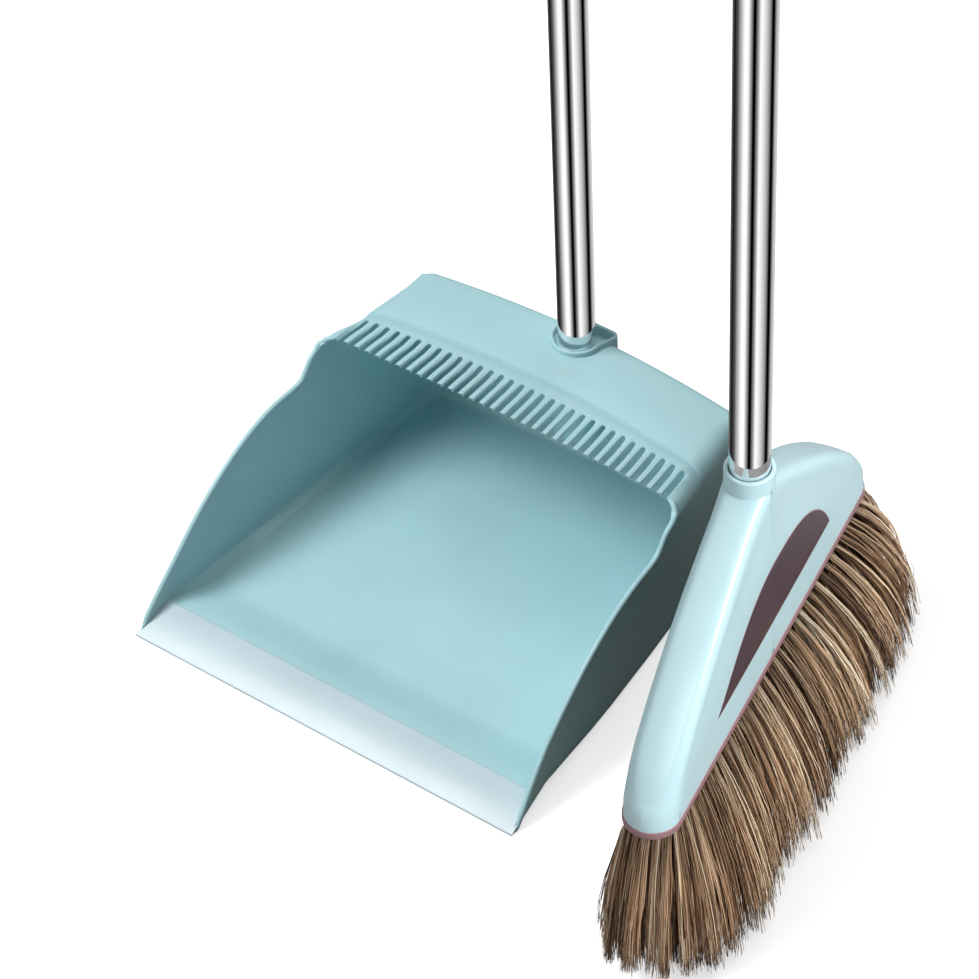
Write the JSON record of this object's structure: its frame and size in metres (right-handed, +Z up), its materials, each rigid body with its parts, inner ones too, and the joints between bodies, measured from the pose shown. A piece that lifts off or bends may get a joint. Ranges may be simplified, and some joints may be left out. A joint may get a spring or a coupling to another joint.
{
  "type": "dust pan and brush set",
  "caption": "Long-handled dust pan with a hood, a comb and a soft lip, beside an upright broom with a fanned head, crescent inserts and long soft bristles, both on steel tubes.",
  "frame": {"origin": "middle of the dust pan's flat underside, on the floor it stands on", "axes": "+X across the pan towards the broom's side, +Y from the pan's mouth to its back wall, +Z up along both handles"},
  "size_m": [0.4221, 0.3242, 0.841],
  "materials": {
    "pan_plastic": "satin moulded",
    "lip_plastic": "soft satin",
    "head_plastic": "satin moulded",
    "grip_plastic": "fine grain",
    "mauve_plastic": "satin moulded",
    "insert_plastic": "satin moulded",
    "steel_tube": "polished stainless",
    "bristle_hair": "mixed soft hair"
  },
  "bodies": {
    "pan": {"pan_shell": "pan_plastic", "pan_lip": "lip_plastic"},
    "pan_handle": {"pan_thread_plug": "mauve_plastic", "pan_tube": "steel_tube", "pan_tube_bung": "mauve_plastic", "pan_grip": "grip_plastic", "pan_hanging_cap": "mauve_plastic"},
    "broom": {"broom_head": "head_plastic", "insert_front": "insert_plastic", "insert_back": "insert_plastic", "tuft_plate": "mauve_plastic", "bristle_row_1": "bristle_hair", "bristle_row_2": "bristle_hair", "bristle_row_3": "bristle_hair", "bristle_row_4": "bristle_hair", "bristle_row_5": "bristle_hair"},
    "broom_handle": {"broom_thread_plug": "mauve_plastic", "broom_tube": "steel_tube", "broom_tube_bung": "mauve_plastic", "broom_grip": "grip_plastic", "broom_hanging_cap": "mauve_plastic"}
  },
  "joints": [
    {"name": "pan_handle_screw", "type": "hinge", "parent": "pan", "child": "pan_handle", "pos_m": [0, 0.1245, 0.05], "axis": [0, 0, 1], "range_deg": [0, 1080]},
    {"name": "broom_lift", "type": "slide", "parent": "pan", "child": "broom", "axis": [0, 0, 1], "range_m": [0, 0.3]},
    {"name": "broom_handle_screw", "type": "hinge", "parent": "broom", "child": "broom_handle", "pos_m": [0.21, -0.0165, 0.188], "axis": [0, 0, 1], "range_deg": [0, 1080]}
  ]
}
